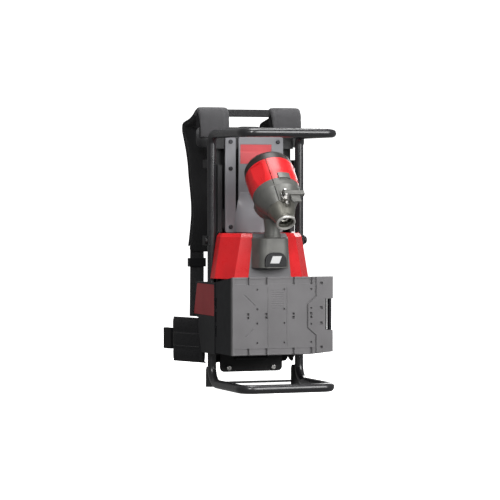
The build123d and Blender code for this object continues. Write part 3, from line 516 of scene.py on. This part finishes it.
def inflate(mesh, voxel=5 * MM, pressure=4.0, cap=6 * MM, hold=None, keep=None):
    """Swells a closed form as sewn cloth over foam.

    Hold limits where points may go; keep is an axis along which nothing moves,
    so that bound edges stay where the binding is sewn.
    """
    piece = bpy.data.objects.new("work", mesh)
    bpy.context.scene.collection.objects.link(piece)
    remesh = piece.modifiers.new("remesh", "REMESH")
    remesh.mode = "VOXEL"
    remesh.voxel_size = voxel
    take(piece)
    rest = positions(piece.data)
    cloth = piece.modifiers.new("cloth", "CLOTH")
    cloth.settings.quality = 5
    cloth.settings.mass = 0.3
    cloth.settings.use_pressure = True
    cloth.settings.uniform_pressure_force = pressure
    cloth.settings.effector_weights.gravity = 0
    cloth.settings.tension_stiffness = 12
    cloth.settings.compression_stiffness = 12
    cloth.settings.bending_stiffness = 0.4
    cloth.point_cache.frame_start = 1
    cloth.point_cache.frame_end = SIM_FRAMES
    for step in range(1, SIM_FRAMES + 1):
        bpy.context.scene.frame_set(step)
    take(piece)
    bpy.context.scene.frame_set(1)
    moved = positions(piece.data) - rest
    reach = np.linalg.norm(moved, axis=1)
    moved *= (cap * np.tanh(reach / cap) / np.maximum(reach, 1e-9))[:, None]
    if keep is not None:
        moved[:, keep] = 0
    co = rest + moved
    if hold is not None:
        co = hold(co)
    set_positions(piece.data, co)
    mesh = piece.data
    bpy.data.objects.remove(piece)
    return mesh


def soften(mesh, passes=4, factor=0.5):
    """Laplacian smoothing of a closed mesh."""
    tool = bmesh.new()
    tool.from_mesh(mesh)
    axes = {f"use_axis_{letter}": True for letter in "xyz"}
    for _ in range(passes):
        bmesh.ops.smooth_vert(tool, verts=tool.verts, factor=factor, **axes)
    tool.to_mesh(mesh)
    tool.free()
    return mesh


def smoother(piece):
    """One level of subdivision, applied."""
    mod = piece.modifiers.new("smooth", "SUBSURF")
    mod.levels = 1
    mod.render_levels = 1
    take(piece)
    return piece


def sew(mesh, line, depth, reach):
    """Pulls the skin in along a seam: line is a list of points on or near the skin."""
    co = positions(mesh)
    normals = np.zeros(len(mesh.vertices) * 3)
    mesh.vertices.foreach_get("normal", normals)
    normals = normals.reshape(-1, 3)
    near = np.full(len(co), np.inf)
    line = np.array(line, float)
    for a, b in zip(line[:-1], line[1:]):
        ab = b - a
        t = np.clip(((co - a) @ ab) / (ab @ ab), 0, 1)
        near = np.minimum(near, np.linalg.norm(co - (a + t[:, None] * ab), axis=1))
    pull = depth * np.exp(-((near / reach) ** 2))
    set_positions(mesh, co - normals * pull[:, None])
    return mesh


def tube(name, points, radius, count=80, sides=8):
    """Round cord of piping along points."""
    line = spline(points, count)
    _, a, n = ribbon_frames(line, (0.21, 0.13, 0.97))
    turn = np.linspace(0, 2 * math.pi, sides, endpoint=False)
    ring = radius * np.stack([np.cos(turn), np.sin(turn)], axis=1)
    rings = [line[i] + ring[:, :1] * a[i] + ring[:, 1:] * n[i] for i in range(count)]
    return loft(name, rings)


def stitch_mesh(name, paths, pitch=4.2 * MM, length=2.9 * MM, radius=0.35 * MM):
    """Rows of short raised stitches, one row along each path of points."""
    verts, faces = [], []
    for points in paths:
        line = np.array(points, float)
        steps = np.linalg.norm(np.diff(line, axis=0), axis=1)
        along = np.concatenate([[0], np.cumsum(steps)])
        for start in np.arange(pitch / 2, along[-1] - length, pitch):
            a = np.array([np.interp(start, along, line[:, k]) for k in range(3)])
            b = np.array([np.interp(start + length, along, line[:, k]) for k in range(3)])
            add_stitch(verts, faces, a, b, radius)
    return mesh_from(name, verts, faces)


def add_stitch(verts, faces, a, b, radius):
    """Spindle with six sides between two points."""
    axis = (b - a) / np.linalg.norm(b - a)
    side = np.cross(axis, (0.3, 0.5, 0.81))
    side /= np.linalg.norm(side)
    up = np.cross(axis, side)
    first = len(verts)
    for share, size in ((0.0, 0.45), (0.2, 1.0), (0.8, 1.0), (1.0, 0.45)):
        for k in range(6):
            turn = k * math.pi / 3
            spoke = math.cos(turn) * side + math.sin(turn) * up
            verts.append(a + (b - a) * share + radius * size * spoke)
    for i in range(3):
        for k in range(6):
            p, q = first + 6 * i + k, first + 6 * i + (k + 1) % 6
            faces.append((p, q, q + 6, p + 6))
    faces.append(tuple(first + k for k in range(6)))
    faces.append(tuple(first + 18 + k for k in range(6)))


# --- back pad --------------------------------------------------------------------
PAD_LO, PAD_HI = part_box("back_pad")
PAD_SHRINK = 1.5 * MM


def pad_outline():
    """(x, z) corners of the pad, with the notches under the strap roots."""
    x, low, high = PAD_HI.x - PAD_SHRINK, PAD_LO.z + PAD_SHRINK, PAD_HI.z - PAD_SHRINK
    notch_x, notch_z = 50 * MM, PAD_HI.z - 31 * MM
    right = [
        (x - 10 * MM, low), (x - 3 * MM, low + 3 * MM), (x, low + 10 * MM), (x, notch_z - 6 * MM),
        (x - 6 * MM, notch_z), (notch_x, notch_z), (notch_x - 4 * MM, high - 8 * MM), (25 * MM, high),
    ]
    return right + [(-x, z) for x, z in reversed(right)]


def back_pad():
    outline = pad_outline()
    y0, y1 = PAD_LO.y + 0.5 * MM, PAD_HI.y - 5 * MM
    rings = [[(x, y, z) for x, z in outline] for y in (y0, y1)]
    def hold(co):
        co[:, 1] = np.clip(co[:, 1], PAD_LO.y + 0.1 * MM, PAD_HI.y + 4 * MM)
        return co
    mesh = soften(inflate(loft("back_pad", rings), cap=7 * MM, hold=hold), 3)
    y = PAD_HI.y
    top = PAD_HI.z - 60 * MM
    for x in (-26 * MM, 26 * MM):
        sew(mesh, [(x, y, PAD_LO.z + 25 * MM), (x, y, top)], 9 * MM, 7 * MM)
    for z in np.linspace(PAD_LO.z + 130 * MM, top - 90 * MM, 4):
        for side in SIDES:
            sew(mesh, [(side * 30 * MM, y, z), (side * 105 * MM, y, z - 18 * MM)], 6 * MM, 6 * MM)
    piece = add_piece("back_pad_cover", mesh, MATERIALS["fabric_black"])
    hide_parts("back_pad")
    return smoother(piece)


# --- shoulder straps ---------------------------------------------------------------
# Line of the right strap from its root on the board over the shoulder to its
# end: y, z, half thickness.
STRAP_LINE = np.array([
    (69, 643, 10.5), (69, 668, 11), (69.5, 688, 11.5), (78, 697, 8), (100, 686, 8), (124, 677, 7.5),
    (152, 671.5, 7.5), (176, 666, 8.5), (185, 655, 9.5), (174, 632, 9), (159, 607, 9), (147, 582, 8.5),
    (138, 556, 8.5), (132, 530, 8.5), (123, 500, 8.5), (115, 470, 8.5), (112, 440, 9), (118, 408, 9),
    (128, 374, 9), (138, 347, 7.5), (141, 337, 4.5),
]) * MM
STRAP_LINE[:, 0] += SHIFT
# Line of the saddle that lies over the board's head: y, z, half thickness.
SADDLE_LINE = np.array([
    (48.2, 627, 2.3), (48.2, 641, 2.5), (48.6, 656, 2.7), (51.5, 672, 4.5), (56, 686, 7),
    (64, 696, 8.5), (76, 697.5, 7.5), (88, 690, 6), (98, 685, 4),
]) * MM
SADDLE_LINE[:, 0] += SHIFT
STRAP_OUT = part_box("shoulder_straps")[1].x
STRAP_IN = 72 * MM
YOKE_IN = 55 * MM


def strap_points(side):
    """Centreline with the yoke's extra width shifted inwards."""
    rows = []
    for i, (y, z, thick) in enumerate(STRAP_LINE):
        inner = YOKE_IN if i < 3 else STRAP_IN
        if i == 3:
            inner = (YOKE_IN + STRAP_IN) / 2
        rows.append((side * (inner + STRAP_OUT) / 2, y, z, thick, (STRAP_OUT - inner) / 2))
    return rows


def strap_samples(side, count):
    rows = spline(strap_points(side), count)
    return rows[:, :3], rows[:, 3], rows[:, 4]


def shoulder_strap(side, word):
    count = 90
    line, thick, half = strap_samples(side, count)
    _, across, out = ribbon_frames(line, (1, 0, 0))
    inset = 0.5 * MM
    rings = []
    for i in range(count):
        end = min(1.0, (count - 1 - i) / 6)
        width = (half[i] - inset) * (0.84 + 0.16 * math.sqrt(end))
        section = rounded_section(width, max(thick[i] - 2 * MM, 2.5 * MM), 32, 3.4)
        rings.append(line[i] + section[:, :1] * across[i] + section[:, 1:] * out[i])
    mesh = soften(inflate(loft("strap", rings), voxel=4.5 * MM, pressure=5.0, cap=5 * MM, keep=0), 2)
    for offset in (-0.55, 0.55):
        for face in (-1, 1):
            seam = line + across * (half * offset)[:, None] + out * (thick * face)[:, None]
            sew(mesh, seam[30:-6:3], 2.2 * MM, 4 * MM)
    piece = add_piece(f"{word}_shoulder_strap", mesh, MATERIALS["fabric_grey"])
    return smoother(piece)


def saddle(side, word):
    """Wide padded fold over the board's head, with a crease near its inner edge."""
    count = 44
    inner, outer = YOKE_IN + 1.5 * MM, STRAP_OUT - 1.5 * MM
    rows = [(side * (inner + outer) / 2, y, z, thick) for y, z, thick in SADDLE_LINE]
    rows = spline(rows, count)
    line, thick = rows[:, :3], rows[:, 3]
    _, across, out = ribbon_frames(line, (1, 0, 0))
    half = (outer - inner) / 2
    rings = []
    for i in range(count):
        section = rounded_section(half, max(thick[i], 2.2 * MM), 40, 6)
        rings.append(line[i] + section[:, :1] * across[i] + section[:, 1:] * out[i])
    mesh = soften(inflate(loft("saddle", rings), voxel=4 * MM, cap=1.5 * MM, keep=0), 1)
    crease = [(side * 68 * MM, y - 7 * MM, z + 5 * MM) for y, z, _ in SADDLE_LINE[:6]]
    sew(mesh, crease, 2.0 * MM, 4 * MM)
    # The saddle's cloth is painted lighter: painted light from the front.
    piece = add_piece(f"{word}_strap_saddle", mesh, LIT_SADDLE_CLOTH)
    smoother(piece)
    edge = [(side * (inner + 4 * MM), y - t - 0.6 * MM, z) for y, z, t in SADDLE_LINE[:5]]
    hem = [(side * x, SADDLE_LINE[0][0] - 3 * MM, 631 * MM) for x in np.linspace(inner, outer, 12)]
    add_piece(f"{word}_saddle_stitches", stitch_mesh("stitches", [edge, hem]), THREAD)


def strap_trim(side, word):
    """Binding on the strap's edges, and stitches."""
    line, thick, half = strap_samples(side, 120)
    _, across, out = ribbon_frames(line, (1, 0, 0))
    edges = [line + across * ((half - 2.8 * MM) * s)[:, None] for s in SIDES]
    for number, edge in enumerate(edges):
        mesh = tube("binding", edge[3:-2:4], 2.1 * MM, count=110)
        add_piece(f"{word}_strap_binding_{number}", mesh, BINDING)
    rows = []
    for s in SIDES:
        for face in SIDES:
            row = line + across * (half * s * 0.86)[:, None] + out * (thick * face * 0.86)[:, None]
            rows.append(row[28:-4])
    add_piece(f"{word}_strap_stitches", stitch_mesh("stitches", rows), THREAD)


# --- hip wings -------------------------------------------------------------------------
WING_LO, WING_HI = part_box("hip_wings")
# Plan line of the right wing: x, y, half thickness.
WING_LINE = np.array([
    (118.5, 64, 4.5), (119.2, 76, 5), (127, 94, 5.5), (142, 129, 6), (156, 165, 5.5), (164.5, 184, 3.5),
]) * MM
WING_LINE[:, 1] += SHIFT


def wing_samples(side, count):
    rows = [(side * x, y, (WING_LO.z + WING_HI.z) / 2, t) for x, y, t in WING_LINE]
    rows = spline(rows, count)
    return rows[:, :3], rows[:, 3]


def hip_wing(side, word):
    count = 46
    line, thick = wing_samples(side, count)
    _, up, out = ribbon_frames(line, (0, 0, 1))
    half = (WING_HI.z - WING_LO.z) / 2
    rings = []
    for i in range(count):
        section = rounded_section(half - 0.8 * MM, thick[i], 40, 7)
        rings.append(line[i] + section[:, :1] * up[i] + section[:, 1:] * out[i])
    mesh = soften(inflate(loft("wing", rings), voxel=4.5 * MM, pressure=5.0, cap=4 * MM, keep=2), 2)
    for level in (-0.36, 0.36):
        for face in SIDES:
            seam = line + up * (half * level) + out * (thick * face * 1.3)[:, None]
            sew(mesh, seam[4:-3], 2.2 * MM, 5 * MM)
    piece = add_piece(f"{word}_hip_wing", mesh, MATERIALS["fabric_black"])
    return smoother(piece)


def wing_trim(side, word):
    """Binding round the wing and the belt web along its outer face."""
    line, thick = wing_samples(side, 60)
    _, up, out = ribbon_frames(line, (0, 0, 1))
    half = (WING_HI.z - WING_LO.z) / 2
    for number, s in enumerate(SIDES):
        edge = line + up * ((half - 2.6 * MM) * s)
        mesh = tube("binding", edge[::3], 2.0 * MM, 70)
        add_piece(f"{word}_wing_binding_{number}", mesh, BINDING)
    facing = out if (out[30][0] * side) > 0 else -out
    web = line + facing * (thick + 2.4 * MM)[:, None]
    mesh = band("web", web[8:56:3], (0, 0, 1), 19 * MM, 1.1 * MM, 60, power=6, sides=20)
    add_piece(f"{word}_belt_web", mesh, MATERIALS["web_black"])
    rows = [web[8:56] + facing[8:56] * 1.1 * MM + up[8:56] * s * 16.5 * MM for s in SIDES]
    add_piece(f"{word}_belt_stitches", stitch_mesh("stitches", rows), THREAD)


# --- webs and carry handle ------------------------------------------------------------
def carry_handle():
    """Doubled webbing grip between the strap saddles, with a box stitch at each end."""
    lo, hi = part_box("carry_handle")
    y, z = (lo.y + hi.y) / 2, (lo.z + hi.z) / 2
    points = [(x * MM, y, z) for x in (-62, -30, 0, 30, 62)]
    mesh = band("handle", points, (0, 0, 1), 9.6 * MM, 1.7 * MM, 60, power=5, sides=24)
    piece = add_piece("carry_handle_web", mesh, MATERIALS["web_black"])
    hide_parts("carry_handle")
    rows = []
    for side in SIDES:
        x0, x1 = side * 40 * MM, side * 52 * MM
        z0, z1 = z - 6 * MM, z + 6 * MM
        for corners in ([(x0, z0), (x1, z0), (x1, z1), (x0, z1), (x0, z0)], [(x0, z0), (x1, z1)]):
            rows.append([(x, lo.y - 0.3 * MM, height) for x, height in corners])
    mesh = stitch_mesh("stitches", rows, pitch=3 * MM, length=2 * MM)
    add_piece("handle_stitches", mesh, THREAD)


# Line of the right lower web, down from the strap's end: x, y, z in mm.
LOWER_WEB_LINE = [
    (114, 139.3, 346), (114, 139.3, 311), (114, 139.3, 297),
    (117.6, 130, 255), (121.5, 120, 210), (125, 111.8, 174),
]


def lower_web(side, word):
    """Flat web from the strap's end through its buckle to the belt."""
    points = [(side * x * MM, y * MM + SHIFT, z * MM) for x, y, z in LOWER_WEB_LINE]
    mesh = band("web", points, (1, 0, 0), 18.6 * MM, 1.15 * MM, 50, power=6, sides=20)
    return add_piece(f"{word}_lower_web", mesh, MATERIALS["web_black"])


def load_lifter(side, word):
    """Short web on top of the strap."""
    rows = [(102, 90, 695), (102, 112, 690), (102, 140, 684)]
    points = [(side * x * MM, y * MM + SHIFT, z * MM) for x, y, z in rows]
    mesh = band("web", points, (1, 0, 0), 12 * MM, 1.1 * MM, 30, power=6, sides=20)
    add_piece(f"{word}_lifter_web", mesh, MATERIALS["web_black"])


def badge():
    """Plain light parallelogram on the swivel's lock button."""
    lo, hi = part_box("swivel_lock_button")
    y, half_x, half_z, lean = lo.y, 12 * MM, 9 * MM, 3.5 * MM
    cx, cz = (lo.x + hi.x) / 2, (lo.z + hi.z) / 2
    tool = bmesh.new()
    corners = [
        (-half_x - lean, -half_z), (half_x - lean, -half_z),
        (half_x + lean, half_z), (lean - half_x, half_z),
    ]
    front = [tool.verts.new((cx + x, y - 0.5 * MM, cz + z)) for x, z in corners]
    back = [tool.verts.new((cx + x, y + 0.2 * MM, cz + z)) for x, z in corners]
    tool.faces.new(front)
    tool.faces.new(list(reversed(back)))
    for i in range(4):
        j = (i + 1) % 4
        tool.faces.new((front[j], front[i], back[i], back[j]))
    bmesh.ops.recalc_face_normals(tool, faces=tool.faces)
    bmesh.ops.bevel(tool, geom=tool.edges[:], offset=0.15 * MM, segments=2, affect="EDGES")
    mesh = bpy.data.meshes.new("badge")
    tool.to_mesh(mesh)
    tool.free()
    add_piece("button_badge", mesh, BADGE, body="lock_button", smooth=False)


back_pad()
straps = [shoulder_strap(side, word) for side, word in HANDS]
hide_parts("shoulder_straps")
wings = [hip_wing(side, word) for side, word in HANDS]
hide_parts("hip_wings")
for side, word in HANDS:
    saddle(side, word)
    strap_trim(side, word)
    wing_trim(side, word)
    load_lifter(side, word)
webs = [lower_web(side, word) for side, word in HANDS]
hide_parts("lower_webs")
carry_handle()
badge()


# --- stage ------------------------------------------------------------------------------
# Half the floor's width and the radius of the wall, in metres: wide enough for a
# camera on any side of the object.
STAGE_R = 12
# The camera's place and direction, and its focal length on a 36 mm sensor.
EYE = (-2.2578, -6.0477 + SHIFT, 0.5113)
FORWARD = (0.3468, 0.9376, -0.0258)
LENS = 184.35


def staged(name, mesh, surface):
    """Stage piece that only the camera sees, so that it throws no light back."""
    piece = bpy.data.objects.new(name, mesh)
    bpy.context.scene.collection.objects.link(piece)
    piece.data.materials.append(surface)
    piece.visible_diffuse = False
    piece.visible_glossy = False
    piece.visible_transmission = False
    return piece


def glowing(name, strength):
    s = Surface(name, roughness=0.9, specular=0.0)
    s.shader.inputs["Emission Color"].default_value = (1, 1, 1, 1)
    s.shader.inputs["Emission Strength"].default_value = strength
    return s.done(s.mix(s.between(s.noise(0.4), 0, 1), (0.8, 0.8, 0.8), (0.83, 0.83, 0.83)))


def floor():
    corners = [(STAGE_R * x, STAGE_R * y, 0) for x, y in ((-1, -1), (1, -1), (1, 1), (-1, 1))]
    mesh = mesh_from("floor", corners, [(0, 1, 2, 3)])
    staged("floor", mesh, glowing("floor", 1.15))


def backdrop():
    """Wide white wall all round the object."""
    count = 48
    turn = np.linspace(0, 2 * math.pi, count, endpoint=False)
    verts = [(STAGE_R * math.cos(t), STAGE_R * math.sin(t), z) for z in (-0.5, STAGE_R) for t in turn]
    faces = [(k, (k + 1) % count, count + (k + 1) % count, count + k) for k in range(count)]
    wall = staged("backdrop", mesh_from("backdrop", verts, faces), glowing("backdrop", 1.2))
    wall.visible_shadow = False


def area_light(name, place, target, size, power, colour=(1, 1, 1)):
    data = bpy.data.lights.new(name, "AREA")
    data.shape = "RECTANGLE"
    data.size, data.size_y = size
    data.energy = power
    data.color = colour
    lamp = bpy.data.objects.new(name, data)
    lamp.location = place
    lamp.rotation_euler = (Vector(target) - Vector(place)).to_track_quat("-Z", "Y").to_euler()
    bpy.context.scene.collection.objects.link(lamp)


def world(strength):
    made = bpy.data.worlds.new("studio")
    made.use_nodes = True
    back = made.node_tree.nodes["Background"]
    back.inputs["Color"].default_value = (1, 1, 1, 1)
    back.inputs["Strength"].default_value = strength
    bpy.context.scene.world = made


def camera():
    """Long lens, low and to the left of the front."""
    data = bpy.data.cameras.new("camera")
    data.sensor_width = 36.0
    data.lens = LENS
    data.clip_end = 100
    eye = bpy.data.objects.new("camera", data)
    eye.location = EYE
    eye.rotation_euler = Vector(FORWARD).to_track_quat("-Z", "Y").to_euler()
    bpy.context.scene.collection.objects.link(eye)
    bpy.context.scene.camera = eye


floor()
backdrop()
world(0.2)
CENTRE = (0, 0, 0.38)
area_light("key", (1.3, -3.0, 1.5), CENTRE, (2.6, 1.8), 105)
area_light("front", (-1.55, -2.75, 1.65), CENTRE, (0.55, 1.0), 42)
area_light("top", (0.1, -0.2, 2.6), CENTRE, (1.4, 1.0), 40)
area_light("rim", (1.6, 2.2, 1.5), CENTRE, (1.0, 1.8), 26)
camera()
bpy.context.scene.view_settings.view_transform = "Standard"
